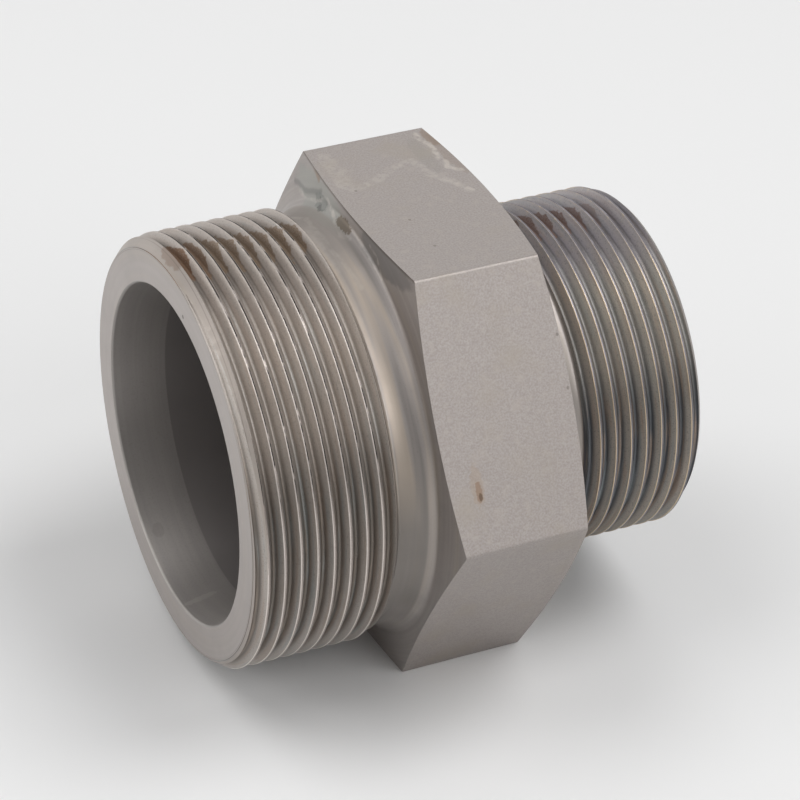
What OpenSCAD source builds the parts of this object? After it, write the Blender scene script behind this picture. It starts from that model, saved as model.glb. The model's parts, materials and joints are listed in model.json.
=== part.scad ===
// Straight reducing adapter for hydraulic tube, turned from one length of hexagon bar.
// Both ends take a tube in a tapered socket and carry a fine male thread for a nut.
// It lies on one flat of its hexagon. The axis runs along X and the large end is at -X.

/* [Hexagon] */
// Width across the flats
hex_across = 55; // [54:0.5:75]
// Length along the middle of a flat
hex_length = 17.1; // [14:0.1:40]
// Slope of the face beside the large end, from square to the axis
front_slope = 10.7; // [4:0.1:25]
// Slope of the face beside the small end, from square to the axis
back_slope = 14; // [4:0.1:25]
// Distance from the flats in to the square ring of the small end's face
back_margin = 1.3; // [0.5:0.1:3]

/* [Large end] */
// Major diameter of the thread
large_thread_d = 52; // [46:0.5:54]
// Distance from one thread crest to the next
large_pitch = 2; // [1:0.25:3]
// Distance from the end face to the hexagon, at the middle of a flat
large_reach = 22.2; // [17:0.1:40]
// Angle about the axis at which the thread crest leaves the end face
large_start = 301; // [0:1:359]
// Outer diameter of the tube that the socket takes
large_tube_d = 38; // [35:0.5:40]
// Diameter of the sealing cone at the end face
large_mouth_d = 41; // [39.2:0.1:44]
// Depth of the socket, from the end face to the tube stop
large_socket_depth = 16; // [10:0.5:28]
// Diameter of the flow bore behind the tube stop
large_bore_d = 32; // [26:0.5:34]
// Depth of that bore, from the end face to the drilled cone
large_bore_depth = 32; // [29:0.5:40]

/* [Small end] */
// Major diameter of the thread
small_thread_d = 42; // [38:0.5:50]
// Distance from one thread crest to the next
small_pitch = 2; // [1:0.25:3]
// Distance from the end face to the hexagon, at the middle of a flat
small_reach = 19.8; // [15:0.1:40]
// Angle about the axis at which the thread crest leaves the end face
small_start = 143; // [0:1:359]
// Outer diameter of the tube that the socket takes
small_tube_d = 30; // [28:0.5:32]
// Diameter of the sealing cone at the end face
small_mouth_d = 33; // [31.2:0.1:35.5]
// Depth of the socket, from the end face to the tube stop
small_socket_depth = 13.5; // [9:0.5:22]
// Diameter of the flow bore behind the tube stop
small_bore_d = 25; // [10:0.5:25.5]

/* [Sockets] */
// Full angle of the sealing cones
cone_angle = 24; // [20:1:60]
// Socket diameter over tube diameter
tube_clearance = 0.3; // [0.1:0.05:0.6]
// Full angle of the cone that the drill leaves at the end of the large bore
drill_angle = 120; // [90:1:150]
// Width of the broken edge at each mouth
edge_break = 0.2; // [0.05:0.05:0.4]

/* [Necks beside the hexagon] */
// Distance from the last full thread crest to the hexagon
neck_width = 5.3; // [3:0.1:7]
// Depth of the neck below the thread root
neck_relief = 0.35; // [0.1:0.05:1.5]
// Slope of the neck wall on the thread side, from square to the axis
neck_wall_slope = 30; // [10:1:50]
// Largest radius of the fillet that leads up to the hexagon
neck_fillet = 5.2; // [1:0.1:8]
// Height of the fillet's outer end above the thread crest
neck_shoulder = 0.2; // [0.1:0.1:1]

/* [Threads] */
// Angle of the chamfer at the end face
chamfer_angle = 45; // [30:1:60]
// Depth of that chamfer below the thread root
chamfer_relief = 0.1; // [0.05:0.05:0.5]
// Straight steps in one turn of a thread
thread_steps = 48; // [24:4:60]

/* [Hidden] */

// A metric thread: 60 degrees between the flanks, a flat crest and a flat root
flank_angle = 30;
crest_share = 1 / 8;
depth_share = 0.6134;

// Material that the thread cutter takes off the crests, and the cutter's own room outside them
crest_stock = 0.4;
cutter_room = 3;

// Turns the zero of a thread's start angle to +Y of the lying part
start_zero = 90;

// How far a cutting solid runs past the face that it opens
past = 1;

steel = [0.56, 0.54, 0.52];
round_steps = 144;

large_root_r = large_thread_d / 2 - depth_share * large_pitch;
small_root_r = small_thread_d / 2 - depth_share * small_pitch;
large_socket_r = (large_tube_d + tube_clearance) / 2;
small_socket_r = (small_tube_d + tube_clearance) / 2;

hex_sides = 6;
half_side_angle = 180 / hex_sides;
flat_r = hex_across / 2;
corner_r = flat_r / cos(half_side_angle);
front_shoulder_r = large_thread_d / 2 + neck_shoulder;
back_shoulder_r = small_thread_d / 2 + neck_shoulder;
back_ring_r = flat_r - back_margin;

// Places along the axis, from the large end face
total_length = large_reach + hex_length + small_reach;
front_shoulder_z = large_reach - (flat_r - front_shoulder_r) * tan(front_slope);
back_flat_z = large_reach + hex_length;
back_ring_z = back_flat_z + (flat_r - back_ring_r) * tan(back_slope);
back_shoulder_from_face = total_length - back_ring_z;

// Section of the solid end, drawn at X >= 0 from its face at Y = 0 up to its shoulder.
// The thread zone carries crest_stock, which the thread cutter takes off again.
module end_section(thread_d, root_r, reach, shoulder_z) {
    stock_r = thread_d / 2 + crest_stock;
    face_r = root_r - chamfer_relief;
    floor_r = root_r - neck_relief;
    shoulder_r = thread_d / 2 + neck_shoulder;
    wall_top_z = reach - neck_width - crest_stock * tan(neck_wall_slope);
    wall_foot_z = wall_top_z + (stock_r - floor_r) * tan(neck_wall_slope);
    rise = shoulder_r - floor_r;
    room = shoulder_z - wall_foot_z;
    fillet_r = min(neck_fillet, (pow(room, 2) + pow(rise, 2)) / (2 * rise));
    fillet_z = shoulder_z - sqrt(pow(fillet_r, 2) - pow(fillet_r - rise, 2));

    polygon([
        [0, 0],
        [face_r, 0],
        [stock_r, (stock_r - face_r) / tan(chamfer_angle)],
        [stock_r, wall_top_z],
        [floor_r, wall_foot_z],
        [floor_r, shoulder_z],
        [0, shoulder_z]
    ]);
    difference() {
        translate([0, fillet_z]) square([shoulder_r, shoulder_z - fillet_z]);
        translate([floor_r + fillet_r, fillet_z]) circle(r = fillet_r, $fn = round_steps);
    }
}

// Section of the collar that is left outside both shoulders, with its two sloped faces
module collar_section() {
    rim_r = corner_r + past;
    polygon([
        [0, front_shoulder_z],
        [front_shoulder_r, front_shoulder_z],
        [rim_r, front_shoulder_z + (rim_r - front_shoulder_r) * tan(front_slope)],
        [rim_r, back_ring_z - (rim_r - back_ring_r) * tan(back_slope)],
        [back_ring_r, back_ring_z],
        [0, back_ring_z]
    ]);
}

// Section of one socket, from past its face to its tube stop: broken edge, cone and tube seat
module socket_section(mouth_r, socket_r, depth) {
    polygon([
        [0, -past],
        [mouth_r + edge_break + past, -past],
        [mouth_r, edge_break],
        [socket_r, edge_break + (mouth_r - socket_r) / tan(cone_angle / 2)],
        [socket_r, depth],
        [0, depth]
    ]);
}

// Section of the flow bore: the wide drilling with its cone, and the narrow one that goes through
module bore_section() {
    wide_r = large_bore_d / 2;
    narrow_r = small_bore_d / 2;
    polygon([
        [0, large_socket_depth - past],
        [wide_r, large_socket_depth - past],
        [wide_r, large_bore_depth],
        [narrow_r, large_bore_depth + (wide_r - narrow_r) / tan(drill_angle / 2)],
        [narrow_r, total_length - small_socket_depth + past],
        [0, total_length - small_socket_depth + past]
    ]);
}

// The whole section of the turned blank, from the axis out
module blank_section() {
    difference() {
        union() {
            end_section(large_thread_d, large_root_r, large_reach, front_shoulder_z);
            collar_section();
            translate([0, total_length]) mirror([0, 1])
                end_section(small_thread_d, small_root_r, small_reach, back_shoulder_from_face);
        }
        socket_section(large_mouth_d / 2, large_socket_r, large_socket_depth);
        bore_section();
        translate([0, total_length]) mirror([0, 1])
            socket_section(small_mouth_d / 2, small_socket_r, small_socket_depth);
    }
}

// Outline of one pitch of thread: how far each corner lies along the pitch, and its radius
function thread_corners(thread_d, pitch) =
    let (crest = crest_share * pitch,
         depth = depth_share * pitch,
         flank = depth * tan(flank_angle),
         crest_r = thread_d / 2,
         root_r = crest_r - depth)
    [[0, crest_r], [crest, crest_r], [crest + flank, root_r], [pitch - flank, root_r], [pitch, crest_r]];

// Everything outside a right-hand thread, as a solid to cut with.
// Rows of points follow the thread's corners round the axis and are cut off square at both ends.
// The row below the seam meets the row one pitch on, so that the rows join into one helix.
module thread_cutter(thread_d, pitch, from_z, to_z, crest_z) {
    corners = thread_corners(thread_d, pitch);
    sides = len(corners) - 1;
    outer_r = thread_d / 2 + cutter_room;
    first_turn = floor((from_z - pitch - crest_z) / pitch);
    last_turn = ceil((to_z - crest_z) / pitch);
    rows = (last_turn - first_turn) * sides + 1;
    rims = [to_z, from_z];
    column = rows + sides + len(rims);

    function row_point(step, row) =
        let (turn = first_turn + floor(row / sides),
             raw_z = crest_z + pitch * (turn + step / thread_steps) + corners[row % sides][0],
             z = min(max(raw_z, from_z), to_z),
             share = (z - crest_z) / pitch - step / thread_steps,
             r = z == raw_z ? corners[row % sides][1]
               : lookup(pitch * (share - floor(share)), corners),
             angle = 360 * step / thread_steps)
        [r * cos(angle), r * sin(angle), z];

    function rim_point(step, z) =
        let (angle = 360 * step / thread_steps)
        [outer_r * cos(angle), outer_r * sin(angle), z];

    points = [
        for (step = [0:thread_steps - 1]) each [
            for (row = [0:rows + sides - 1]) row_point(step, row),
            for (z = rims) rim_point(step, z)
        ]
    ];

    // Where rows are cut off, corners fall together. A triangle that has lost its area is left out.
    function triangle(a, b, c) =
        points[a] == points[b] || points[b] == points[c] || points[a] == points[c] ? [] : [[a, c, b]];

    function quad(a, b, c, d) =
        concat(triangle(a, b, c), triangle(a, c, d));

    // One closed ring of points at each step: up along the rows, then back along the two rims
    function ring(step) =
        let (seam = step == thread_steps,
             first = seam ? sides : step * column,
             rim = (seam ? 0 : step * column) + rows + sides)
        concat([for (row = [0:rows - 1]) first + row], [rim, rim + 1]);

    faces = [
        for (step = [0:thread_steps - 1])
            let (here = ring(step), next = ring(step + 1), count = len(here))
            for (i = [0:count - 1])
                let (j = (i + 1) % count)
                each quad(here[i], here[j], next[j], next[i])
    ];

    polyhedron(points = points, faces = faces, convexity = 20);
}

// Place along the axis of a crest's near edge at angle zero, for a crest that leaves a face at start
function crest_at_zero(face_z, pitch, start) =
    face_z - pitch * start / 360;

// Where a thread cutter ends, from its face: just past the foot of the neck wall
function cutter_end(thread_d, root_r, reach) =
    reach - neck_width + (thread_d / 2 - root_r + neck_relief) * tan(neck_wall_slope) + neck_relief;

// The adapter: hexagon bar turned to its section, then threaded at both ends
module adapter_body() {
    large_cutter_end = cutter_end(large_thread_d, large_root_r, large_reach);
    small_cutter_start = total_length - cutter_end(small_thread_d, small_root_r, small_reach);

    color(steel)
    rotate([0, 90, 0])
    translate([0, 0, -total_length / 2])
    difference() {
        intersection() {
            rotate_extrude($fn = round_steps) blank_section();
            rotate([0, 0, half_side_angle])
                translate([0, 0, -past])
                cylinder(r = corner_r, h = total_length + 2 * past, $fn = hex_sides);
        }
        rotate([0, 0, start_zero])
            thread_cutter(large_thread_d, large_pitch, -past, large_cutter_end,
                crest_at_zero(0, large_pitch, large_start));
        rotate([0, 0, start_zero])
            thread_cutter(small_thread_d, small_pitch, small_cutter_start, total_length + past,
                crest_at_zero(total_length, small_pitch, small_start));
    }
}

adapter_body();
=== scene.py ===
# %% [markdown]
# # A turned steel reducing adapter
#
# This lesson dresses one machined part: a hexagon bar that was turned down on a lathe at both
# ends, threaded there and bored through. The CAD model fixes its size and place. Blender adds what
# a camera sees: rounded thread crests and roots, broken edges, the grain that each tool left, and
# the dried oil and first rust of a part that has lain in a store.
#
# Everything is in metres, with the adapter's axis along X and its large end at -X.

# %% Load the fixed frame
import json
import math

import bpy
from mathutils import Matrix, Vector

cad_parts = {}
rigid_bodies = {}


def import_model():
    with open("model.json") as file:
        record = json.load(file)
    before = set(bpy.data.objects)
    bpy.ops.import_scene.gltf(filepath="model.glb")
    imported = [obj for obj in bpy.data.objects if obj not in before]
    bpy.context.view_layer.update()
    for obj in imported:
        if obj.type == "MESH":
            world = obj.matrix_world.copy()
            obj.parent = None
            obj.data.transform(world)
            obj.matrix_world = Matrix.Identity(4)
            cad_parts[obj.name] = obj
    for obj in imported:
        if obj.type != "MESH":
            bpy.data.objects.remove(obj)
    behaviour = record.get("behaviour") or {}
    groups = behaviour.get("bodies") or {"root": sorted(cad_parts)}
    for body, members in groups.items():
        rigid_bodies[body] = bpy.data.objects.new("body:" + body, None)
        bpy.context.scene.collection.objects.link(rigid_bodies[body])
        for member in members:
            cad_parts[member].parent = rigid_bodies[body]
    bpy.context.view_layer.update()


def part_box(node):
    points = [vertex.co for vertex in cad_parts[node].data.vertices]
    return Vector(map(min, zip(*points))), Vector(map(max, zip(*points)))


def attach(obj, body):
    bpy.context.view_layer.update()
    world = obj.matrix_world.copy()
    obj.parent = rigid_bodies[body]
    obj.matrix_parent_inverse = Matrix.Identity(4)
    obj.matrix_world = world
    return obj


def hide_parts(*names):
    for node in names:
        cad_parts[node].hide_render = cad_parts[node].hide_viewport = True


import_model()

low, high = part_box("adapter_body")
print("CAD body, mm:", [round((b - a) * 1000, 2) for a, b in zip(low, high)])

# %% [markdown]
# ## Sizes
#
# The overall length and the width across the flats come from the frame. The rest are the driving
# sizes of the part, in millimetres, because that is how a turner's drawing gives them. `mm` turns
# them into Blender's metres at the moment a shape is made.

# %% Sizes of the two ends
mm = 0.001
length = (high.x - low.x) / mm
hex_across = (high.z - low.z) / mm

# reach runs from an end's face to the hexagon. start is the angle round the axis, in degrees, at
# which the near edge of a crest crosses the plane of that face.
large = {
    "thread_r": 26.0, "pitch": 2.0, "reach": 22.2, "start": 301,
    "socket_r": 19.15, "mouth_r": 20.5, "socket_depth": 16.0, "bore_r": 16.0,
}
small = {
    "thread_r": 21.0, "pitch": 2.0, "reach": 19.8, "start": 143,
    "socket_r": 15.15, "mouth_r": 16.5, "socket_depth": 13.5, "bore_r": 12.5,
}
large["face_x"] = -length / 2
small["face_x"] = length / 2
large["hex_x"] = large["face_x"] + large["reach"]
small["hex_x"] = small["face_x"] - small["reach"]
print("hexagon from", round(large["hex_x"], 2), "to", round(small["hex_x"], 2), "mm along the axis")

# %% Radii that follow from the threads
depth_share = 0.6134
chamfer_relief = 0.1
neck_relief = 0.35
neck_shoulder = 0.2
for end in (large, small):
    end["root_r"] = end["thread_r"] - depth_share * end["pitch"]
    end["face_r"] = end["root_r"] - chamfer_relief
    end["floor_r"] = end["root_r"] - neck_relief
    end["shoulder_r"] = end["thread_r"] + neck_shoulder
    print("thread", 2 * end["thread_r"], "mm, root", round(2 * end["root_r"], 2), "mm across")

# %% [markdown]
# ## The turned blank
#
# On the machine, the hexagon bar is faced, turned down to the thread diameters, necked beside the
# hexagon, chamfered and bored. All of that is one closed section, from the large end's mouth over
# the outside to the small end and back through the bore. Its corners are worked out part by part:
# first the collar that will become the hexagon, whose two faces slope a little.

# %% Corners of the collar
front_slope = math.radians(10.7)
back_slope = math.radians(14)
back_margin = 1.3
beyond_corner = 1

flat_r = hex_across / 2
corner_r = flat_r / math.cos(math.pi / 6)
rim_r = corner_r + beyond_corner
ring_r = flat_r - back_margin
ring_x = small["hex_x"] + back_margin * math.tan(back_slope)
large["shoulder_x"] = large["hex_x"] - (flat_r - large["shoulder_r"]) * math.tan(front_slope)
small["shoulder_x"] = ring_x
collar = [
    (large["shoulder_x"] + (rim_r - large["shoulder_r"]) * math.tan(front_slope), rim_r),
    (ring_x - (rim_r - ring_r) * math.tan(back_slope), rim_r),
    (ring_x, ring_r),
]
print("corners of the bar lie", round(corner_r, 2), "mm from the axis")

# %% [markdown]
# ### Necks
#
# A thread can't be cut right up to a shoulder, so the turner first makes a neck for the tool to run
# out into. Its wall slopes down from the last crest, and a wide fillet leads up to the collar. The
# fillet is one arc that starts level with the neck's floor, so it needs only a centre and two angles.

# %% Corners of the necks
neck_width = 5.3
neck_wall_slope = math.radians(30)
neck_fillet = 5.2
neck_steps = 14


def arc(centre, radius, start, end, steps):
    """Points along a circle in the section, from one angle to another, both ends included."""
    angles = [start + (end - start) * i / steps for i in range(steps + 1)]
    return [(centre[0] + radius * math.cos(a), centre[1] + radius * math.sin(a)) for a in angles]


def neck_outline(end, side):
    """Corners from the thread's last crest down through the neck and up to the shoulder.
    side is +1 where the hexagon lies towards +X, and -1 where it lies towards -X."""
    wall_top = end["hex_x"] - side * neck_width
    wall_foot = wall_top + side * (end["thread_r"] - end["floor_r"]) * math.tan(neck_wall_slope)
    rise = end["shoulder_r"] - end["floor_r"]
    room = abs(end["shoulder_x"] - wall_foot)
    radius = min(neck_fillet, (room ** 2 + rise ** 2) / (2 * rise))
    run = math.sqrt(radius ** 2 - (radius - rise) ** 2)
    centre = (end["shoulder_x"] - side * run, end["floor_r"] + radius)
    last = -math.pi / 2 + side * math.asin(run / radius)
    return [(wall_top, end["thread_r"]), (wall_foot, end["floor_r"])] + arc(
        centre, radius, -math.pi / 2, last, neck_steps)


large_neck = neck_outline(large, 1)
small_neck = neck_outline(small, -1)
print("neck floors:", round(2 * large["floor_r"], 2), "and", round(2 * small["floor_r"], 2), "mm across")

# %% [markdown]
# ### Sockets, bore and chamfers
#
# Each end is bored for its tube, with a slim cone at the mouth that the tube's ring seals on. The
# wide and the narrow part of the flow bore meet in the cone that a drill's point leaves. Outside,
# a 45 degree chamfer runs from just under the thread's root up to its crest, so that a nut starts.

# %% Corners of the sockets
cone_half_angle = math.radians(12)
edge_break = 0.2


def socket_outline(end, side):
    """Corners from the broken edge at the mouth in to the tube stop."""
    face = end["face_x"]
    cone = (end["mouth_r"] - end["socket_r"]) / math.tan(cone_half_angle)
    return [
        (face, end["mouth_r"] + edge_break),
        (face + side * edge_break, end["mouth_r"]),
        (face + side * (edge_break + cone), end["socket_r"]),
        (face + side * end["socket_depth"], end["socket_r"]),
        (face + side * end["socket_depth"], end["bore_r"]),
    ]


large_socket = socket_outline(large, 1)
small_socket = socket_outline(small, -1)
print("large cone is", round(large_socket[2][0] - large_socket[1][0], 2), "mm long")

# %% Corners of the bore and the chamfers
large_bore_depth = 32.0
drill_half_angle = math.radians(60)

drill_end = large["face_x"] + large_bore_depth
bore_step = [
    (drill_end + (large["bore_r"] - small["bore_r"]) / math.tan(drill_half_angle), small["bore_r"]),
    (drill_end, large["bore_r"]),
]
large_chamfer = [
    (large["face_x"], large["face_r"]),
    (large["face_x"] + large["thread_r"] - large["face_r"], large["thread_r"]),
]
small_chamfer = [
    (small["face_x"], small["face_r"]),
    (small["face_x"] - small["thread_r"] + small["face_r"], small["thread_r"]),
]
outline = (large_chamfer + large_neck + collar + small_neck[::-1] + small_chamfer[::-1]
           + small_socket + bore_step + large_socket[::-1])
print("corners of the section:", len(outline))

# %% [markdown]
# ### Drawing the section
#
# The section could be a curve with a Screw modifier. Here it is drawn the way it is drawn by hand:
# one vertex, extruded again and again to the next corner, which keeps every corner where the
# drawing has it. An operator acts on all that is selected, so everything is deselected first.

# %% Draw the outline
def deselect_all():
    """Leaves object mode with nothing selected, so that an operator acts on the new piece alone."""
    if bpy.context.mode != "OBJECT":
        bpy.ops.object.mode_set(mode="OBJECT")
    bpy.ops.object.select_all(action="DESELECT")


def draw_outline(name, corners):
    """One closed outline in the XY plane, drawn by extruding a vertex from corner to corner."""
    deselect_all()
    bpy.ops.mesh.primitive_plane_add(size=mm, location=(0, 0, 0))
    piece = bpy.context.object
    piece.name = piece.data.name = name
    bpy.ops.object.mode_set(mode="EDIT")
    bpy.ops.mesh.select_mode(type="VERT")
    bpy.ops.mesh.select_all(action="SELECT")
    bpy.ops.mesh.merge(type="CENTER")
    first = Vector((corners[0][0] * mm, corners[0][1] * mm, 0))
    bpy.ops.transform.translate(value=first)
    for here, there in zip(corners, corners[1:]):
        step = ((there[0] - here[0]) * mm, (there[1] - here[1]) * mm, 0)
        bpy.ops.mesh.extrude_region_move(TRANSFORM_OT_translate={"value": step})
    bpy.ops.mesh.select_all(action="SELECT")
    bpy.ops.mesh.edge_face_add()
    bpy.ops.mesh.delete(type="ONLY_FACE")
    bpy.ops.object.mode_set(mode="OBJECT")
    return piece


blank = draw_outline("adapter_body_steel", outline)
print("drawn outline:", len(blank.data.vertices), "vertices")

# %% [markdown]
# ### Rounded corners
#
# A tool's nose leaves inner corners round, and a touch with a file breaks the outer ones. Those
# corners are beveled as vertices of the flat outline, which turns each into a small arc. That is
# easier than a bevel on the finished solid, where the rings would have to be picked out again.

# %% Round the corners that a tool leaves round
same_place = 0.01


def make_active(piece):
    deselect_all()
    piece.select_set(True)
    bpy.context.view_layer.objects.active = piece


def round_corners(piece, corners, radius, segments):
    """Bevels the outline's vertices that lie at the given corners."""
    make_active(piece)
    wanted = [Vector((x * mm, r * mm, 0)) for x, r in corners]
    for vertex in piece.data.vertices:
        vertex.select = any((vertex.co - place).length < same_place * mm for place in wanted)
    for edge in piece.data.edges:
        edge.select = False
    bpy.ops.object.mode_set(mode="EDIT")
    bpy.ops.mesh.select_mode(type="VERT")
    bpy.ops.mesh.bevel(offset=radius * mm, segments=segments, affect="VERTICES", clamp_overlap=True)
    bpy.ops.object.mode_set(mode="OBJECT")


rounded = {
    "foot of each neck's wall": (0.25, 3, [large_neck[1], small_neck[1]]),
    "end face to chamfer": (0.15, 3, [large_chamfer[0], small_chamfer[0]]),
    "fillet to collar": (0.3, 4, [large_neck[-1], small_neck[-1]]),
    "edge of the back slope": (0.12, 3, [(ring_x, ring_r)]),
    "mouth of each cone": (0.08, 2, large_socket[:2] + small_socket[:2]),
    "edges inside the bore": (0.12, 2, [large_socket[4], small_socket[4]] + bore_step),
}
for kind, (radius, segments, corners) in rounded.items():
    round_corners(blank, corners, radius, segments)
    print(kind, "rounded by", radius, "mm")
print("section of the blank:", len(blank.data.vertices), "corners")

# %% [markdown]
# ### Swinging it round
#
# A lathe part is its section swung round the axis. The spin operator does that in edit mode. Its
# last ring falls on its first, so the doubles are merged, and then the normals are turned outwards.

# %% Spin the section round the axis
turn_steps = 180
doubles_within = 0.001


def spin_round_x(piece, steps):
    make_active(piece)
    bpy.ops.object.mode_set(mode="EDIT")
    bpy.ops.mesh.select_all(action="SELECT")
    bpy.ops.mesh.spin(steps=steps, angle=2 * math.pi, center=(0, 0, 0), axis=(1, 0, 0))
    bpy.ops.mesh.select_all(action="SELECT")
    bpy.ops.mesh.remove_doubles(threshold=doubles_within * mm)
    bpy.ops.mesh.normals_make_consistent(inside=False)
    bpy.ops.object.mode_set(mode="OBJECT")


spin_round_x(blank, turn_steps)
print("turned blank:", len(blank.data.polygons), "faces")

# %% [markdown]
# ## The hexagon
#
# The flats are the skin of the bar itself. A six-sided bar with lightly rounded edges is laid along
# the axis, flat side down, and only what the bar and the turned blank share is kept. That gives the
# curved line where each sloped face of the collar runs into a flat, with no need to draw it.

# %% Make the hexagon bar
bar_edge_radius = 0.25
bar_overlength = 10

deselect_all()
bpy.ops.mesh.primitive_cylinder_add(
    vertices=6, radius=corner_r * mm, depth=(length + bar_overlength) * mm,
    rotation=(0, math.pi / 2, 0))
bar = bpy.context.object
bpy.ops.object.transform_apply(location=True, rotation=True, scale=True)
for edge in bar.data.edges:
    ends = [bar.data.vertices[i].co for i in edge.vertices]
    edge.select = abs(ends[0].x - ends[1].x) > length * mm
bpy.ops.object.mode_set(mode="EDIT")
bpy.ops.mesh.select_mode(type="EDGE")
bpy.ops.mesh.bevel(offset=bar_edge_radius * mm, segments=3, affect="EDGES")
bpy.ops.object.mode_set(mode="OBJECT")
print("bar stands", round(2 * max(v.co.z for v in bar.data.vertices) / mm, 2), "mm high")

# %% Cut the blank to the bar
def apply_modifier(piece, kind, **settings):
    make_active(piece)
    bpy.ops.object.modifier_add(type=kind)
    modifier = piece.modifiers[-1]
    for name, value in settings.items():
        setattr(modifier, name, value)
    bpy.ops.object.modifier_apply(modifier=modifier.name)


def combine(piece, tool, operation):
    """Boolean of the piece with a tool, which is used up."""
    apply_modifier(piece, "BOOLEAN", object=tool, operation=operation, solver="MANIFOLD")
    bpy.data.objects.remove(tool)


combine(blank, bar, "INTERSECT")
print("blank with its hexagon:", len(blank.data.polygons), "faces")

# %% [markdown]
# ## The threads
#
# A thread is cut with a pointed tool that moves one pitch along the axis for each turn. The same is
# done here: the outline of the tool's tip is drawn once, a Screw modifier carries it round the axis
# as a long closed worm, and the worm is subtracted from the blank. The crests are then the turned
# surface itself, and chamfer, neck and thread meet as they do on the machine.
#
# The tip has the metric form with its standard root radius, in shares of the pitch. A tool pushes a
# small burr up on one side of each crest, and brushing leaves that edge rounder than the other.

# %% Outline of the tool tip
flank_angle = math.radians(30)
crest_share = 1 / 8
root_radius_share = 0.1443
burred_edge = 0.07
clean_edge = 0.04
above_crest = 0.2


def tip_outline(end, crest_x):
    """The groove between two crests. It starts on the crest whose near edge is at crest_x."""
    pitch, crest_r = end["pitch"], end["thread_r"]
    near = crest_x + crest_share * pitch
    far = crest_x + pitch
    middle = (near + far) / 2
    apex_r = crest_r - (far - near) / 2 / math.tan(flank_angle)
    root_radius = root_radius_share * pitch
    root = arc((middle, apex_r + root_radius / math.sin(flank_angle)), root_radius,
               -math.pi + flank_angle, -flank_angle, 6)
    tangent_share = math.tan((math.pi / 2 - flank_angle) / 2)
    left_x, right_x = near - clean_edge * tangent_share, far + burred_edge * tangent_share
    left = arc((left_x, crest_r - clean_edge), clean_edge, math.pi / 2, flank_angle, 3)
    right = arc((right_x, crest_r - burred_edge), burred_edge, math.pi - flank_angle, math.pi / 2, 3)
    above = crest_r + above_crest
    return [(left_x, above)] + left + root + right + [(right_x, above)]


deepest = min(r for _, r in tip_outline(large, 0))
print("tool tip reaches", round(large["thread_r"] - deepest, 3), "mm below the crest")

# %% A worm along the helix
def thread_worm(end, crest_x, turns):
    """The closed worm that the tip leaves in the metal, right-handed, with its first tip at +Y."""
    worm = draw_outline("worm", tip_outline(end, crest_x))
    apply_modifier(
        worm, "SCREW", axis="X", angle=2 * math.pi * turns, iterations=1,
        screw_offset=end["pitch"] * turns * mm, steps=round(turn_steps * turns),
        render_steps=round(turn_steps * turns), use_smooth_shade=False, use_merge_vertices=False)
    bpy.ops.object.mode_set(mode="EDIT")
    bpy.ops.mesh.select_all(action="SELECT")
    bpy.ops.mesh.fill_holes(sides=0)
    bpy.ops.mesh.select_all(action="SELECT")
    bpy.ops.mesh.normals_make_consistent(inside=False)
    bpy.ops.object.mode_set(mode="OBJECT")
    return worm


def crest_at_zero(end, from_x):
    """Where the near edge of a crest crosses angle zero, at or just below from_x."""
    crest = end["face_x"] - end["pitch"] * end["start"] / 360
    return crest - end["pitch"] * math.ceil((crest - from_x) / end["pitch"])


print("a large crest crosses angle zero at", round(crest_at_zero(large, large["face_x"]), 3), "mm")

# %% Cut both threads
clear_of_neck = 0.05


def cut_thread(body, end, from_x, to_x):
    first = crest_at_zero(end, from_x)
    turns = math.ceil((to_x - first) / end["pitch"] * turn_steps) / turn_steps
    worm = thread_worm(end, first, turns)
    faces = len(worm.data.polygons)
    combine(body, worm, "DIFFERENCE")
    print("thread cut with", round(turns, 2), "turns of", faces, "faces")


cut_thread(blank, large, large["face_x"] - large["pitch"], large_neck[0][0] + clear_of_neck)
cut_thread(blank, small, small_neck[0][0] - small["pitch"] - clear_of_neck, small["face_x"])
body = blank
spans = []
for axis in range(3):
    places = [vertex.co[axis] / mm for vertex in body.data.vertices]
    spans.append(round(max(places) - min(places), 3))
print("body:", len(body.data.polygons), "faces, size mm", spans)

# %% [markdown]
# ### Smooth faces, sharp edges
#
# Turned surfaces are round to the eye, while the edges between them stay crisp. Shading by angle
# keeps each edge sharp that bends more than the steps of a curve do, and weighted normals let the
# large faces rule the shading of the small arcs beside them.

# %% Smooth the turned surfaces
sharp_above = math.radians(28)

make_active(body)
bpy.ops.object.shade_smooth_by_angle(angle=sharp_above)
apply_modifier(body, "WEIGHTED_NORMAL", mode="FACE_AREA", weight=50, keep_sharp=True)
print("sharp edges:", sum(edge.use_edge_sharp for edge in body.data.edges))

# %% [markdown]
# ## Zones of one piece
#
# The adapter is one solid, but each tool left its own skin on it: the drawn flats of the bar, the
# turned faces and necks, the cut threads and the bored inside. Each face is sorted by where it lies
# and which way it looks, which a hand would do with the lasso. The zones meet at real edges.

# %% Sort the faces into zones
zones = ["turned", "flats", "large_thread", "small_thread", "bore"]
close_by = 0.02
skin_depth = 0.5
level_enough = 0.05
under_root = 0.15
past_last_crest = 0.75


def chamfer_gap(x, r):
    """How far a point lies off the nearer end chamfer, both of which slope at 45 degrees."""
    end = large if x < 0 else small
    return abs((r - end["face_r"]) - abs(x - end["face_x"]))


def zone_of(x, r, facing_x):
    """The zone of a face whose middle is at x along the axis and r from it."""
    end = large if x < 0 else small
    from_face = abs(x - end["face_x"])
    thread_end = end["reach"] - neck_width + past_last_crest
    if r < end["mouth_r"] + edge_break + close_by:
        return "bore"
    if r > flat_r - skin_depth and abs(facing_x) < level_enough:
        return "flats"
    on_thread = r > end["root_r"] - under_root and close_by < from_face < thread_end
    if on_thread and chamfer_gap(x, r) > close_by:
        return "large_thread" if x < 0 else "small_thread"
    return "turned"


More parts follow.
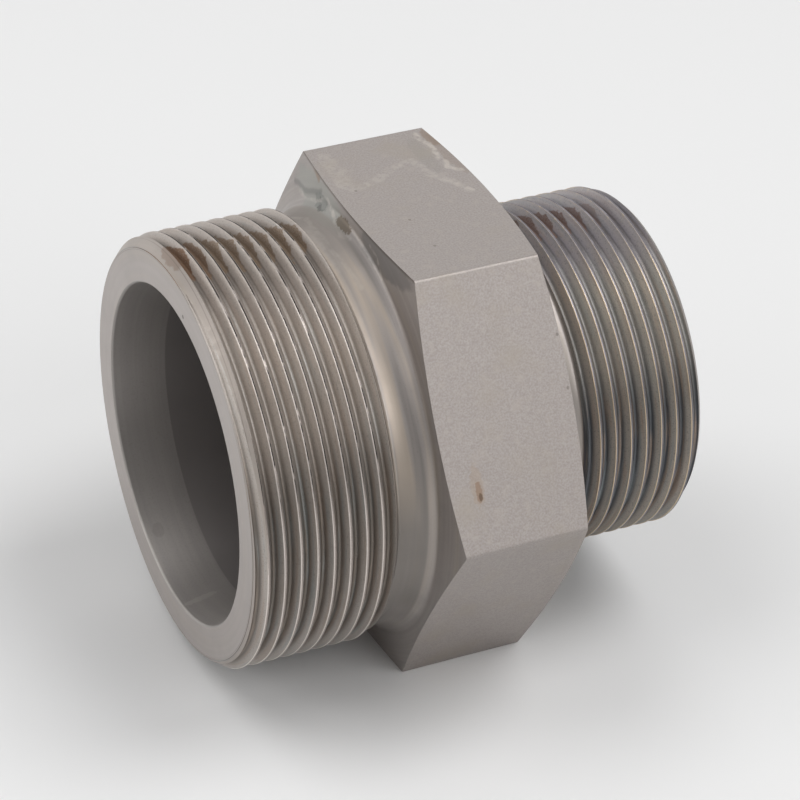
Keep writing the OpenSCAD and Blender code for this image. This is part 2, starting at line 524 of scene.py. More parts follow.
zone_of_face = []
for face in body.data.polygons:
    x, r = face.center.x / mm, math.hypot(face.center.y, face.center.z) / mm
    zone_of_face.append(zone_of(x, r, face.normal.x))
print("faces in each zone:", {zone: zone_of_face.count(zone) for zone in zones})

# %% [markdown]
# ## Materials
#
# All zones are the same carbon steel under a thin phosphate film that holds oil. The film is a felt
# of fine crystals, so the steel under it shines only in part: metallic 0.7 rather than 1, and a
# roughness near 0.45. What differs from zone to zone is the grain of the tool and what has dried on
# it.
#
# A node tree could be wired by hand in the shader editor. In a script, one small function adds a node
# with its settings and its links, and gives the socket that the next node reads.

# %% Colours and nodes
film_metallic = 0.7


def colour(hex_code):
    """A colour as it is seen on a screen, turned to the linear values that Blender mixes."""
    channels = [int(hex_code[i:i + 2], 16) / 255 for i in (1, 3, 5)]
    return [c / 12.92 if c <= 0.04045 else ((c + 0.055) / 1.055) ** 2.4 for c in channels] + [1.0]


def add(tree, kind, inputs=None, output=0, **settings):
    """Adds one node with its settings and its inputs, each a value or a link, and gives one output."""
    new = tree.nodes.new(kind)
    for name, value in settings.items():
        setattr(new, name, value)
    for name, value in (inputs or {}).items():
        if isinstance(value, bpy.types.NodeSocket):
            tree.links.new(value, new.inputs[name])
        else:
            new.inputs[name].default_value = value
    return new.outputs[output]


print("a middle grey as Blender mixes it:", [round(c, 3) for c in colour("#808080")])

# %% [markdown]
# ### Places in millimetres
#
# A pattern needs to know where on the piece it is. Object coordinates stay with the piece from any
# side and in the exported model. They are multiplied by 1000 first, so that every place is in
# millimetres and a noise's scale is one over the real size of what it draws. The distance from the
# axis comes with them, because so much on a lathe part depends on it.

# %% A steel material and its places
def steel_material(name, metallic):
    """A new material with its shader, and the place in millimetres that its patterns read."""
    material = bpy.data.materials.new(name)
    material.use_nodes = True
    tree = material.node_tree
    shader = tree.nodes["Principled BSDF"]
    shader.inputs["Metallic"].default_value = metallic
    metres = add(tree, "ShaderNodeTexCoord", output="Object")
    place = add(tree, "ShaderNodeVectorMath", {0: metres, "Scale": 1 / mm}, operation="SCALE")
    across = add(tree, "ShaderNodeVectorMath", {0: place, 1: (0, 1, 1)}, operation="MULTIPLY")
    radius = add(tree, "ShaderNodeVectorMath", {0: across}, "Value", operation="LENGTH")
    parts = add(tree, "ShaderNodeSeparateXYZ", {"Vector": place}).node.outputs
    at = {"place": place, "radius": radius, "x": parts["X"], "y": parts["Y"], "z": parts["Z"]}
    return material, tree, shader, at


turned_steel, tree, shader, at = steel_material("turned_steel_phosphated", film_metallic)
print(turned_steel.name, "starts with", len(tree.nodes), "nodes")

# %% [markdown]
# ### Turned faces, necks and chamfers
#
# Phosphated turned steel. A sharp tool at a fine feed leaves rings that the eye reads as a soft, even
# grain round the axis, and the film over them spreads each highlight into a broad dull one.
#
# Real rings lie 0.1 to 0.2 mm apart and real crystals are finer still. Neither would show in the
# render, so the rings are drawn 0.4 mm apart and the grit 0.2 mm coarse.
#
# Tones are laid over one another as a painter lays glazes: each has the share of the steel that it
# covers and a strength. A share is a value between 0 and 1, so it can be given limits of its own,
# which is how one pattern breaks up another.

# %% Laying tones
def where(tree, *limits):
    """Share of the steel, 0 to 1, where every value has gone from its first limit to its second."""
    share = None
    for value, begins, full in limits:
        step = add(tree, "ShaderNodeMapRange", {"Value": value, "From Min": begins, "From Max": full},
                   interpolation_type="SMOOTHSTEP")
        if share is not None:
            step = add(tree, "ShaderNodeMath", {0: share, 1: step}, operation="MULTIPLY")
        share = step
    return share


def lay(tree, paint, layers):
    """Lays tones over a paint, from below upwards: each with the share it covers and its strength."""
    for tone, share, strength in layers:
        amount = add(tree, "ShaderNodeMath", {0: share, 1: strength}, operation="MULTIPLY")
        paint = add(tree, "ShaderNodeMix", {0: amount, 6: paint, 7: colour(tone)}, 2, data_type="RGBA")
    return paint


ground = colour("#a09995")
print("ground tone of the turned steel:", [round(c, 3) for c in ground])

# %% Grain of the turned steel
def tool_grain(tree, at, width, run):
    """Streaks that follow the turning: width apart across the section, and run long round the axis."""
    section = add(tree, "ShaderNodeCombineXYZ", {"X": at["x"], "Y": at["radius"]})
    fine = add(tree, "ShaderNodeVectorMath", {0: section, "Scale": 1 / width}, operation="SCALE")
    slow = add(tree, "ShaderNodeVectorMath", {0: at["place"], "Scale": 1 / run}, operation="SCALE")
    both = add(tree, "ShaderNodeVectorMath", {0: fine, 1: slow}, operation="ADD")
    return add(tree, "ShaderNodeTexNoise", {"Vector": both, "Scale": 1, "Detail": 2})


grain = tool_grain(tree, at, 0.4, 16)
bands = tool_grain(tree, at, 1.6, 30)
grit, film, cloud = [
    add(tree, "ShaderNodeTexNoise", {"Vector": at["place"], "Scale": 1 / size, "Detail": 3})
    for size in (0.2, 0.9, 5)]
paint = lay(tree, ground, [
    ("#a8a19d", where(tree, (grain, 0.3, 0.7)), 1),
    ("#a89e91", where(tree, (bands, 0.5, 0.8)), 0.5),
    ("#94908d", where(tree, (cloud, 0.5, 0.75)), 0.4),
    ("#8a8581", where(tree, (grit, 0.58, 0.75)), 0.35),
])
print("turned steel with its grain:", len(tree.nodes), "nodes")

# %% [markdown]
# ### Dried coolant on the sloped face
#
# Coolant pooled on the sloped face near the top. It left a grey patch with a darker curl and two
# speckled ends, whitish lines where it dried last, and a brown line along the corner of the flat. A
# dark spot towards the front is painted shade, and so is a dark band along the edge of the upper flat.
# They could be painted on an image. Two shapes are enough instead: an oval spot with a ragged rim,
# and a streak that wanders along a few points, both at places in millimetres on the piece.

# %% Spots and streaks
def spot(tree, at, centre, size, ragged=0.6):
    """Share of a stain: 1 inside an oval round a place, 0 outside, with a ragged rim."""
    moved = add(tree, "ShaderNodeVectorMath", {0: at["place"], 1: centre}, operation="SUBTRACT")
    scaled = add(tree, "ShaderNodeVectorMath", {0: moved, 1: size}, operation="DIVIDE")
    far = add(tree, "ShaderNodeVectorMath", {0: scaled}, "Value", operation="LENGTH")
    rough = add(tree, "ShaderNodeTexNoise", {
        "Vector": at["place"], "Scale": 1 / (0.8 * min(size)), "Detail": 3})
    edge = add(tree, "ShaderNodeMath", {0: rough, 1: ragged, 2: far}, operation="MULTIPLY_ADD")
    return where(tree, (edge, 1.15 + ragged / 2, 0.85 + ragged / 2))


def streak(tree, at, points, width, wander):
    """Share of a narrow mark that runs from point to point and wanders to both sides."""
    drift = add(tree, "ShaderNodeTexNoise", {"Vector": at["place"], "Scale": 0.4, "Detail": 3}, "Color")
    shift = add(tree, "ShaderNodeVectorMath", {0: drift, 1: [2 * wander] * 3, 2: [-wander] * 3},
                operation="MULTIPLY_ADD")
    bent = add(tree, "ShaderNodeVectorMath", {0: at["place"], 1: shift}, operation="ADD")
    nearest = width
    for first, second in zip(points, points[1:]):
        run = Vector(second) - Vector(first)
        moved = add(tree, "ShaderNodeVectorMath", {0: bent, 1: first}, operation="SUBTRACT")
        along = add(tree, "ShaderNodeVectorMath", {0: moved, 1: run / run.length_squared}, "Value",
                    operation="DOT_PRODUCT")
        inside = add(tree, "ShaderNodeClamp", {"Value": along})
        foot = add(tree, "ShaderNodeVectorMath", {0: run, "Scale": inside}, operation="SCALE")
        off = add(tree, "ShaderNodeVectorMath", {0: moved, 1: foot}, "Value", operation="DISTANCE")
        nearest = add(tree, "ShaderNodeMath", {0: nearest, 1: off}, operation="MINIMUM")
    return where(tree, (nearest, width, 0.2 * width))


patch_middle, patch_size = (-7.9, 9, 25), (1.6, 9, 2.6)
grey_patch = spot(tree, at, patch_middle, patch_size, 0.6)
speckled = spot(tree, at, (-7.7, 7.7, 25), (0.9, 2, 1), 1)
print("grey patch is about", 2 * patch_size[1], "mm wide")

# %% Grey patch, curl and brown corner
curl = ((-7.1, 16.8, 23), (-7.3, 15.6, 23.4), (-7.4, 13.3, 23.7), (-7.4, 10.6, 25), (-7.4, 8.6, 26.1))
corner = ((-5, 15.8, 27.4), (-6.2, 12.9, 27.3), (-7, 9.9, 27))
paint = lay(tree, paint, [
    ("#999a94", grey_patch, 0.6),
    ("#6e6e6b", streak(tree, at, curl, 0.6, 0.5), 0.5),
    ("#797b77", speckled, 0.6),
    ("#63625f", where(tree, (speckled, 0, 1), (film, 0.5, 0.62)), 0.7),
    # Painted shade: a dark bluish grey spot on the sloped face towards the front.
    ("#666768", spot(tree, at, (-7.3, -9.6, 26.6), (1.5, 6.4, 1.7), 0.5), 0.5),
    ("#8d735f", streak(tree, at, corner, 0.6, 0.3), 0.6),
    # Painted shade: a dark band along the edge where the sloped face meets the upper flat.
    ("#54483f", where(tree, (at["z"], 27.1, 27.4)), 0.55),
])
print("turned steel with its patch:", len(tree.nodes), "nodes")

# %% Dried lines
dried_wander = 0.5
dried_lines = [
    (((-7.5, 14.8, 22.7), (-7.7, 12.9, 23), (-7.7, 10.2, 24.2), (-7.6, 6.4, 26),
      (-7.5, 5.9, 25.9)), 0.4, 0.35),
    (((-7.5, 5.6, 25.9), (-7.9, 3.7, 25.7), (-8.7, -0.1, 25.2), (-8.3, -1.7, 25.5)), 0.4, 0.5),
    (((-10.5, 9.8, 22.5), (-9.8, 7.6, 23.5), (-10.3, 3.4, 24.3), (-10.4, -1.7, 24.5),
      (-10, -6.5, 23.8), (-9.6, -8.5, 23.3)), 0.5, 0.45),
    (((-7.4, -5.6, 26.7), (-7.4, -7.7, 25.9), (-7.6, -9.6, 24.4)), 0.3, 0.4),
    (((-10.6, 4.5, 24.1), (-11.4, -1.1, 24.4), (-11.5, -5.2, 23.9)), 0.9, 0.35),
]
for points, width, strength in dried_lines:
    mark = streak(tree, at, points, width, dried_wander)
    broken_up = where(tree, (mark, 0, 1), (film, 0.25, 0.65))
    paint = lay(tree, paint, [("#cbc4bc", broken_up, strength)])
print(len(dried_lines), "dried lines on the sloped face")

# %% [markdown]
# ### The neck and the fillet: film, painted shade and a painted highlight
#
# The neck's low front is painted darker as shade, and a painted highlight lightens the neck beside
# the last crest at its front, while a thin film dulls its top. The broad fillet shows the turning
# most: darker and lighter bands, lightest on its upper front. One brown spot has dried on it. These
# marks follow the turn round the axis, so they need an angle.

# %% Marks round the axis
def away_from(tree, at, degrees):
    """How far a point lies round the axis from a direction, in degrees. 0 is +Y and 90 is the top."""
    angle = math.radians(degrees)
    direction = (0, math.cos(angle), math.sin(angle))
    along = add(tree, "ShaderNodeVectorMath", {0: at["place"], 1: direction}, "Value",
                operation="DOT_PRODUCT")
    cosine = add(tree, "ShaderNodeMath", {0: along, 1: at["radius"]}, operation="DIVIDE")
    turn = add(tree, "ShaderNodeMath", {0: cosine}, operation="ARCCOSINE")
    return add(tree, "ShaderNodeMath", {0: turn}, operation="DEGREES")


near_top, upper_front, glint_side, front, low_front = 80, 130, 156, 160, 190
on_neck = where(tree, (at["x"], -12.1, -11.6), (at["x"], -8.1, -8.6))
# Painted shade: the neck is darkened round its low front.
neck_low_shade = where(tree, (on_neck, 0, 1), (away_from(tree, at, low_front), 40, 16))
neck_film = where(tree, (on_neck, 0, 1), (away_from(tree, at, near_top), 60, 32))
# Painted highlight: the neck beside the last crest is lightened round the glint side.
neck_glint_highlight = where(tree, (at["x"], -13.2, -12.9), (at["x"], -11.4, -11.7),
                 (away_from(tree, at, glint_side), 26, 6))
on_fillet = where(tree, (at["x"], -13.4, -13), (at["x"], -7.6, -8.4),
                  (away_from(tree, at, front), 90, 50))
dark_bands = where(tree, (on_fillet, 0, 1), (bands, 0.5, 0.3))
light_bands = where(tree, (on_fillet, 0, 1), (bands, 0.45, 0.65),
                    (away_from(tree, at, upper_front), 52, 28))
paint = lay(tree, paint, [
    ("#7b7671", neck_low_shade, 0.75),
    ("#a59d96", neck_film, 0.5),
    ("#666361", dark_bands, 0.5),
    ("#c9b9a8", light_bands, 0.45),
    ("#d4cabf", neck_glint_highlight, 0.8),
    ("#6a5d4e", spot(tree, at, (-7.9, 0.8, 25.9), (0.5, 1.9, 0.9), 1.1), 0.8),
])
print("turned steel with its oil:", len(tree.nodes), "nodes")

# %% [markdown]
# ### End face and chamfer
#
# The end face and the chamfer are a little brighter than the steel behind them. Three thin dark
# lines lie where they meet, brown oil has dried at the top, and a knock left a small dark nick.

# %% Marks on the large end
end_face = where(tree, (at["x"], -29.4, -29.5))
end_chamfer = where(tree, (at["x"], -27.4, -27.6),
                    (at["radius"], large["face_r"] + 0.1, large["face_r"] + 0.15))
paint = lay(tree, paint, [
    ("#b6afab", end_face, 0.5),
    ("#b8ada3", end_chamfer, 0.4),
    ("#8a7668", spot(tree, at, (-28.5, 2.4, 25.7), (1.0, 3.0, 1.2), 0.9), 0.6),
    ("#6b6560", spot(tree, at, (-29.5, -3.9, 21.3), (0.3, 0.25, 0.25), 0.3), 1),
])
half_line = 0.07
line_radii = (large["face_r"] - 0.2, large["face_r"], large["face_r"] + 0.9)
for line_r in line_radii:
    line = where(tree, (at["radius"], line_r - half_line, line_r), (at["radius"], line_r + half_line, line_r),
                 (at["x"], -28.3, -28.5), (grain, 0.2, 0.6))
    paint = lay(tree, paint, [("#6d625b", line, 0.6)])
print("dark lines at radius", [round(line_r, 2) for line_r in line_radii], "mm")

# %% [markdown]
# ### Gloss and relief
#
# A finish isn't only its colour. The film makes the steel duller in cloudy patches, and the oil film
# on the neck is duller still. Grit and rings also stand up by one or two thousandths of a
# millimetre, which is enough to break up a highlight.

# %% Gloss and relief of the turned steel
def connect(tree, shader, paint, roughness, height, depth):
    """Ends a material: its colour, its roughness, and a relief of a real depth in millimetres."""
    normal = add(tree, "ShaderNodeBump", {"Strength": 1, "Distance": depth * mm, "Height": height})
    for name, socket in (("Base Color", paint), ("Roughness", roughness), ("Normal", normal)):
        tree.links.new(socket, shader.inputs[name])


dull = add(tree, "ShaderNodeMapRange", {
    "Value": cloud, "From Min": 0.3, "From Max": 0.7, "To Min": 0.4, "To Max": 0.48})
dull = add(tree, "ShaderNodeMath", {0: neck_film, 1: 0.17, 2: dull}, operation="MULTIPLY_ADD")
relief = add(tree, "ShaderNodeMath", {0: grit, 1: 0.6, 2: grain}, operation="MULTIPLY_ADD")
connect(tree, shader, paint, dull, relief, 0.0015)
print(turned_steel.name, "has", len(tree.nodes), "nodes")

# %% [markdown]
# ### Drawn flats
#
# Phosphated bar skin. The flats are still the surface that drawing left on the bar, so they are
# duller than the turned faces and show no rings, only an even speckle of phosphate crystals, which
# is drawn at 0.22 mm so that it shows. The upper flat carries the rims of dried puddles and a brown
# corner, and the flat below it one small mark of rust, with a few dark pits.

# %% Drawn bar skin
bar_skin, tree, shader, at = steel_material("drawn_bar_skin_phosphated", film_metallic)
grit, broken, patch, cloud = [
    add(tree, "ShaderNodeTexNoise", {"Vector": at["place"], "Scale": 1 / size, "Detail": 3})
    for size in (0.22, 0.7, 1.3, 7)]
paint = lay(tree, colour("#9c9490"), [
    ("#ada6a2", where(tree, (grit, 0.25, 0.75)), 1),
    ("#b3aaa4", where(tree, (patch, 0.5, 0.75)), 0.5),
    ("#a59c92", where(tree, (cloud, 0.5, 0.75)), 0.6),
    ("#8d8b84", spot(tree, at, (6.2, 9.5, 27.5), (1.0, 4.5, 2), 1.0), 0.2),
    ("#86715f", spot(tree, at, (8.9, 13.4, 27.5), (1.0, 2.2, 2), 0.9), 0.5),
    ("#86715f", spot(tree, at, (9.3, 9.5, 27.5), (1.2, 5, 3), 0.9), 0.25),
])
print("bar skin with its speckle:", len(tree.nodes), "nodes")

# %% Rims of dried puddles
rim_wander = 0.8
puddle_rims = [
    (((7.4, 14.4, 27.5), (7.8, 11.3, 27.5), (7.9, 9, 27.5), (7.7, 6.2, 27.5),
      (8.7, 5.1, 27.5)), 0.65, 0.5),
    (((4.4, 6.1, 27.5), (5.5, 3.8, 27.5), (6.9, 2, 27.5), (8, 0.3, 27.5)), 0.5, 0.25),
    (((-4.9, 5.3, 27.5), (-1.7, 6, 27.5), (2, 8.5, 27.5), (4.2, 9.2, 27.5), (5.2, 5.7, 27.5),
      (7, 2.5, 27.5), (7.8, 0.2, 27.5)), 0.8, 0.22),
    (((-4.9, 13.6, 27.5), (-4.9, 9.8, 27.5), (-5.2, 6.6, 27.5)), 1.6, 0.2),
]
for points, width, strength in puddle_rims:
    mark = streak(tree, at, points, width, rim_wander)
    broken_up = where(tree, (mark, 0, 1), (broken, 0.3, 0.6))
    paint = lay(tree, paint, [("#cfc7be", broken_up, strength)])
print(len(puddle_rims), "puddle rims on the upper flat")

# %% Rust, pits and gloss of the bar skin
paint = lay(tree, paint, [
    ("#a3917f", spot(tree, at, (-3.7, -27.9, 6.7), (0.8, 2.4, 2.4), 1.0), 0.35),
    ("#8c7059", spot(tree, at, (-3.6, -28.2, 6.1), (0.4, 1.2, 1.2), 1.0), 0.6),
    ("#5d4a3c", spot(tree, at, (-3.5, -28.5, 5.6), (0.22, 0.45, 0.45), 0.6), 0.7),
])
pits = [(9.27, -20.5, 19.5), (9.4, -23.6, 14.1), (-1.51, -3.4, 27.5), (-1.24, -9.7, 27.5), (-4.6, 4.9, 27.5)]
pit_size = (0.18, 0.2, 0.2)
paint = lay(tree, paint, [("#5f5750", spot(tree, at, pit, pit_size, 0.4), 0.45) for pit in pits])
dull = add(tree, "ShaderNodeMapRange", {
    "Value": patch, "From Min": 0.3, "From Max": 0.7, "To Min": 0.46, "To Max": 0.52})
connect(tree, shader, paint, dull, grit, 0.003)
print(bar_skin.name, "has", len(tree.nodes), "nodes and", len(pits), "pits")

# %% [markdown]
# ### Cut threads
#
# Cut steel, less filmed than the rest, so it is a little more metallic. The roots of a thread keep
# oil and fine dust, and painted shade lies in them as well, so they are darker than the crests. That
# darkening follows from how deep a point lies below the crest. A painted highlight lightens the side
# that faces the lamps. Whatever runs along the helix, as the painted highlight on the burred edge of
# each crest, the painted shadow of the burr beside it and the painted shade on the far flank, follows
# from the phase of the thread: the part of a pitch that a point has passed, which is one half at the
# near edge of a crest. Real tool marks and grit are too fine to show, so they are drawn 0.16 and 0.18
# mm coarse.

# %% Depth and phase on a thread
def depth_and_phase(tree, at, end):
    """How deep a point lies, 0 at the crest and 1 at the root, and its phase along the helix."""
    depth = add(tree, "ShaderNodeMapRange", {
        "Value": at["radius"], "From Min": end["thread_r"], "From Max": end["root_r"]})
    angle = add(tree, "ShaderNodeMath", {0: at["z"], 1: at["y"]}, operation="ARCTAN2")
    unwound = add(tree, "ShaderNodeMath", {0: angle, 1: -end["pitch"] / (2 * math.pi), 2: at["x"]},
                  operation="MULTIPLY_ADD")
    past = add(tree, "ShaderNodeMath", {0: unwound, 1: crest_at_zero(end, 0) - end["pitch"] / 2},
               operation="SUBTRACT")
    pitches = add(tree, "ShaderNodeMath", {0: past, 1: end["pitch"]}, operation="DIVIDE")
    phase = add(tree, "ShaderNodeMath", {0: pitches}, operation="FRACT")
    return depth, phase


# Each pair holds the phase at which nothing of a line shows, and the phase from which it is full.
crest_in, crest_out = (0.48, 0.5), (0.645, 0.625)
# The burr's pair marks a painted highlight on the rounded near edge of each crest.
burr_highlight_in, burr_highlight_out = (0.473, 0.485), (0.54, 0.528)
# The torn pair marks the painted shadow that the burr casts on the crest.
burr_shadow_in, burr_shadow_out = (0.53, 0.542), (0.617, 0.605)
far_flank_shade_in = (0.56, 0.64)
print("the burr's line is", round((burr_highlight_out[0] - burr_highlight_in[0]) * large["pitch"], 2), "mm wide")

# %% [markdown]
# At the top of both threads oil ran into the roots and browned there. It stands highest in the middle
# of the stain, so each stain ends in a point, which comes from weighing its angle against the depth.

# %% Oil stain in the roots
stain_top = 84
stain_reach = 13
stain_rim = 0.16


def root_stain(tree, at, depth, from_top, patchy, grit, stained):
    """Share of the brown oil, which fades in along the axis from none_from to full_to."""
    turned = add(tree, "ShaderNodeMath", {0: from_top, 1: stain_reach}, operation="DIVIDE")
    rise = add(tree, "ShaderNodeMath", {0: turned, 1: depth}, operation="SUBTRACT")
    ragged = add(tree, "ShaderNodeMath", {0: patchy, 1: 0.9, 2: rise}, operation="MULTIPLY_ADD")
    return where(tree, (ragged, stained["limit"], stained["limit"] - stain_rim), (grit, 1, 0.3),
                 (at["x"], stained["none_from"], stained["full_to"]))


print("a stain reaches", stain_reach, "degrees further to each side at the root than at the crest")

# %% Thread steel
thread_metallic = 0.75
highlight_side, burr_shadow_side = 126, 115
root_oil_and_shade_tone, oldest_stain_tone = "#4a413b", "#7f6552"


def thread_material(name, end, tones, stained):
    """The steel of one thread, in its tones, with its stain."""
    material, tree, shader, at = steel_material(name, thread_metallic)
    depth, phase = depth_and_phase(tree, at, end)
    grain = tool_grain(tree, at, 0.16, 5)
    hue = tool_grain(tree, at, 0.5, 11)
    ragged_burr_shadow = tool_grain(tree, at, 1.5, 2.2)
    grit, patchy = [
        add(tree, "ShaderNodeTexNoise", {"Vector": at["place"], "Scale": 1 / size, "Detail": 3})
        for size in (0.18, 1.1)]
    from_top = away_from(tree, at, stain_top)

    dusty = where(tree, (from_top, 40, 18), (patchy, 0.15, 0.5))
    # Painted highlight along the burred edge of each crest, dulled where dust lies.
    burr_highlight_line = where(tree, (phase, *burr_highlight_in), (phase, *burr_highlight_out), (dusty, 1.4, 0))
    # Painted shadow of the burr: a ragged dark line on the crest beside the burred edge.
    burr_shadow_line = where(tree, (phase, *burr_shadow_in), (phase, *burr_shadow_out), (ragged_burr_shadow, 0.32, 0.48),
                      (away_from(tree, at, burr_shadow_side), 55, 38))
    stain = root_stain(tree, at, depth, from_top, patchy, grit, stained)
    paint = lay(tree, colour(tones["flank"]), [
        # Painted shade: the far flank of each groove, which faces away, is darker.
        (tones["far"], where(tree, (phase, *far_flank_shade_in)), 1),
        # Darker with depth towards the root: oil and dust, and painted shade in the groove.
        (tones["root"], where(tree, (depth, 0.35, 0.95)), 1),
        (tones["cool"], where(tree, (hue, 0.52, 0.7)), 0.6),
        (tones["warm"], where(tree, (hue, 0.48, 0.3)), 0.6),
        # Painted highlight: the thread is lighter on the side round 126 degrees that faces the lamps.
        (tones["side_highlight"], where(tree, (away_from(tree, at, highlight_side), 42, 16)), 0.45),
        (tones["crest"], where(tree, (phase, *crest_in), (phase, *crest_out)), 1),
        (tones["dust"], dusty, 0.6),
        (tones["root"], where(tree, (grit, 0.52, 0.72)), 0.45),
        # Near-black in the deep roots at the top: oil there, and painted shade where each crest hides the
        # root behind it.
        (root_oil_and_shade_tone, where(tree, (depth, 0.75, 0.97), (from_top, 32, 14)), 0.6),
        # The torn tone is the painted shadow of the burr.
        (tones["ragged_burr_shadow"], burr_shadow_line, 1),
        # The edge tone is the painted highlight on the burred edge.
        (tones["edge"], burr_highlight_line, 1),
        (tones["stain"], stain, 1),
        (oldest_stain_tone, where(tree, (stain, 0, 1), (at["x"], -24, -26.5)), 1),
    ])

    dull = add(tree, "ShaderNodeMapRange", {
        "Value": depth, "From Min": 0.1, "From Max": 0.8, "To Min": 0.38, "To Max": 0.5})
    dull = add(tree, "ShaderNodeMath", {0: dusty, 1: 0.12, 2: dull}, operation="MULTIPLY_ADD")
    relief = add(tree, "ShaderNodeMath", {0: grain, 1: grit}, operation="ADD")
    connect(tree, shader, paint, dull, relief, 0.004)
    print(name, "has", len(tree.nodes), "nodes")
    return material


large_thread_steel = thread_material("cut_thread_steel_large", large, {
    "flank": "#afa8a2", "far": "#9c958f", "root": "#7f7770", "cool": "#989d9d", "warm": "#a39488",
    "side_highlight": "#cdc4bc", "crest": "#a39993", "edge": "#e0d8d1", "ragged_burr_shadow": "#2e2926", "dust": "#bfb6af",
    "stain": "#85725f"}, {"limit": 0.42, "none_from": 0, "full_to": -5})
small_thread_steel = thread_material("cut_thread_steel_small", small, {
    "flank": "#bfb8af", "far": "#8d8c8b", "root": "#64666a", "cool": "#9fa5a6", "warm": "#b59e8b",
    "side_highlight": "#bab4ab", "crest": "#7d797e", "edge": "#dccaae", "ragged_burr_shadow": "#7d797e", "dust": "#b0abb2",
    "stain": "#7f685e"}, {"limit": 0.32, "none_from": 28, "full_to": 22})

# %% [markdown]
# ### Bored inside
#
# Oiled bored steel. The sealing cone and the sockets are bored smooth, and little light gets in, so
# they look dark and even. Faint scratches cross the cone at its lowest point, where tubes and gauges
# were pushed in. So that they show, the rings are drawn 0.6 mm apart and the grit 0.25 mm coarse.

# %% Bored steel
bored_steel, tree, shader, at = steel_material("bored_steel_oiled", film_metallic)
grain = tool_grain(tree, at, 0.6, 30)
grit, cloud = [
    add(tree, "ShaderNodeTexNoise", {"Vector": at["place"], "Scale": 1 / size, "Detail": 3})
    for size in (0.25, 4)]
# Past the cone the bore is painted darker: partly a finish of its own, partly painted shade deep inside.
past_cone_finish_and_shade = where(tree, (at["radius"], large["socket_r"] + 0.05, large["socket_r"] + 0.01))
paint = lay(tree, colour("#9b9693"), [
    ("#a09b97", where(tree, (grain, 0.3, 0.7)), 1),
    ("#85817e", where(tree, (grit, 0.5, 0.8)), 0.3),
    ("#878280", past_cone_finish_and_shade, 1),
    ("#b9b3ad", spot(tree, at, (-27.0, -2.4, -19.9), (2.6, 0.5, 0.8), 1), 0.35),
    ("#77726e", spot(tree, at, (-27.9, 9.7, -17.7), (0.7, 0.9, 1.4), 0.5), 0.25),
])
dull = add(tree, "ShaderNodeMapRange", {
    "Value": cloud, "From Min": 0.3, "From Max": 0.7, "To Min": 0.46, "To Max": 0.52})
connect(tree, shader, paint, dull, grit, 0.001)
print(bored_steel.name, "has", len(tree.nodes), "nodes")

# %% [markdown]
# ## Dressing the zones
#
# A piece has a slot for each finish, and each face names its slot by number. Clearing the slots sets
# every face back to the first, so the faces are numbered after the slots are filled.

# %% Dress the zones
finishes = {
    "turned": turned_steel, "flats": bar_skin, "large_thread": large_thread_steel,
    "small_thread": small_thread_steel, "bore": bored_steel,
}
body.data.materials.clear()
for zone in zones:
    body.data.materials.append(finishes[zone])
for face, zone in zip(body.data.polygons, zone_of_face):
    face.material_index = zones.index(zone)
print("finishes:", [slot.material.name for slot in body.material_slots])

# %% [markdown]
# ## Camera
#
# The camera stands where the photograph was taken. Its angles and its distance come from matching
# the outline, both threads and the hexagon's edges to the photograph. A frame of 800 by 800 pixels
# turns the focal length from pixels to millimetres of a 36 mm sensor.

# %% Camera
camera_data = bpy.data.cameras.new("photo_camera")
camera = bpy.data.objects.new("photo_camera", camera_data)
bpy.context.scene.collection.objects.link(camera)
bpy.context.scene.camera = camera

image_width = 800
focal_pixels = 3471.5
azimuth, elevation, roll = math.radians(-25.147), math.radians(33.578), math.radians(1.645)
place = Vector((-147.40, -312.98, 229.92)) * mm
back = Vector((math.sin(azimuth) * math.cos(elevation), -math.cos(azimuth) * math.cos(elevation),
               math.sin(elevation)))
level = Vector((math.cos(azimuth), math.sin(azimuth), 0))
upright = back.cross(level)
right = level * math.cos(roll) + upright * math.sin(roll)
up = back.cross(right)
camera_data.sensor_width = 36
camera_data.lens = camera_data.sensor_width * focal_pixels / image_width
camera_data.clip_start, camera_data.clip_end = 0.01, 20
camera.matrix_world = Matrix((
    (right.x, up.x, back.x, place.x),
    (right.y, up.y, back.y, place.y),
    (right.z, up.z, back.z, place.z),
    (0, 0, 0, 1)))
print("lens", round(camera_data.lens, 1), "mm, camera", round(place.length / mm), "mm from the part's middle")

# %% [markdown]
# ## Floor and light
#
# The adapter lies on a plain pale sheet. Steel shows what it reflects, so its light is a tent of
# large soft lamps: a strong one high on the right, one to the right of the camera, and fills from the
# left and from behind. Their strengths are those at which each side of the part has the brightness
# that it has in the photograph.

# %% Pale floor
floor_size = 6

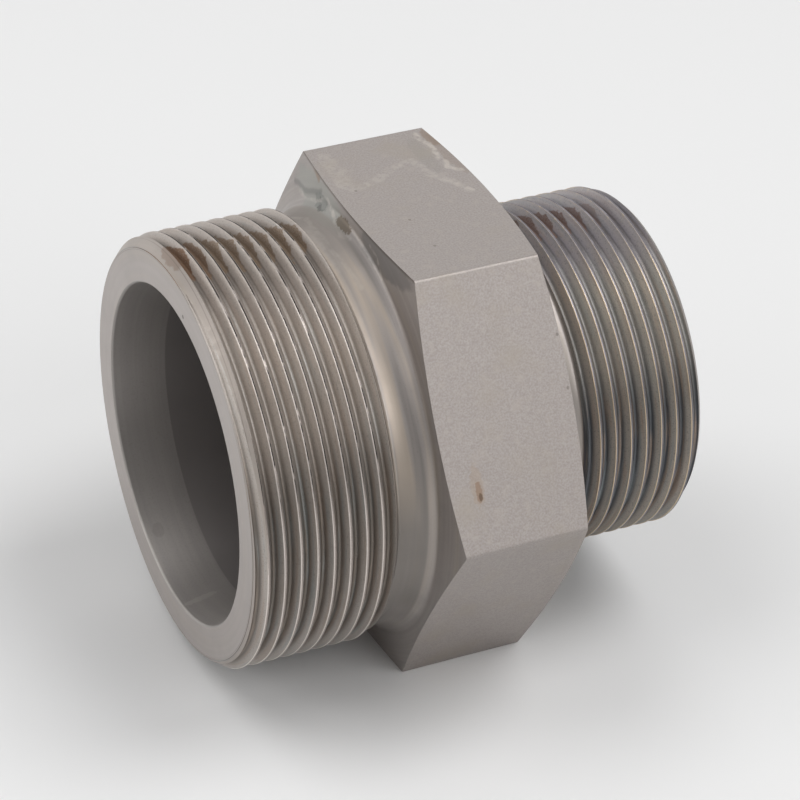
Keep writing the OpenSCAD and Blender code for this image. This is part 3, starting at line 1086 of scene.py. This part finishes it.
deselect_all()
bpy.ops.mesh.primitive_plane_add(size=floor_size, location=(0, 0, low.z))
floor = bpy.context.object
floor.name = "floor"
paper = bpy.data.materials.new("matt_white_paper")
paper.use_nodes = True
paper_shader = paper.node_tree.nodes["Principled BSDF"]
paper_shader.inputs["Base Color"].default_value = colour("#eeeeee")
paper_shader.inputs["Roughness"].default_value = 0.9
floor.data.materials.append(paper)
print("floor at", round(low.z / mm, 2), "mm,", floor_size, "m wide")

# %% Soft lamps
world = bpy.data.worlds.new("studio")
bpy.context.scene.world = world
world.use_nodes = True
world.node_tree.nodes["Background"].inputs["Color"].default_value = (1, 1, 1, 1)
world.node_tree.nodes["Background"].inputs["Strength"].default_value = 0.2


def soft_light(name, place, size, power):
    """A round soft box at a place, turned to the part."""
    deselect_all()
    bpy.ops.object.light_add(type="AREA", location=place)
    lamp = bpy.context.object
    lamp.name = name
    lamp.data.shape = "DISK"
    lamp.data.size = size
    lamp.data.energy = power
    lamp.rotation_mode = "QUATERNION"
    lamp.rotation_quaternion = Vector(place).to_track_quat("Z", "Y")


# Each lamp has its angle round the part from the front, its angle above the floor and its watts.
lamp_distance = 0.8
lamp_size = 0.5
lamps = {
    "high_right": (65, 62, 2.66),
    "front_right": (20, 35, 1.6),
    "back_right": (155, 35, 0.77),
    "back_low": (200, 8, 0.62),
    "left_low": (245, 8, 1.92),
    "left_high": (245, 62, 1.47),
    "left_front": (290, 35, 0.75),
}
for name, (turn, rise, power) in lamps.items():
    turn, rise = math.radians(turn), math.radians(rise)
    direction = Vector((math.sin(turn) * math.cos(rise), -math.cos(turn) * math.cos(rise), math.sin(rise)))
    soft_light(name, direction * lamp_distance, lamp_size, power)
bpy.context.scene.view_settings.view_transform = "Standard"
print(len(lamps), "soft lamps,", round(sum(power for _, _, power in lamps.values()), 1), "W in all")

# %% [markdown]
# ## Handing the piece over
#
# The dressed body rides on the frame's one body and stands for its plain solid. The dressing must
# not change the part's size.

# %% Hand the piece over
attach(body, "root")
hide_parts("adapter_body")
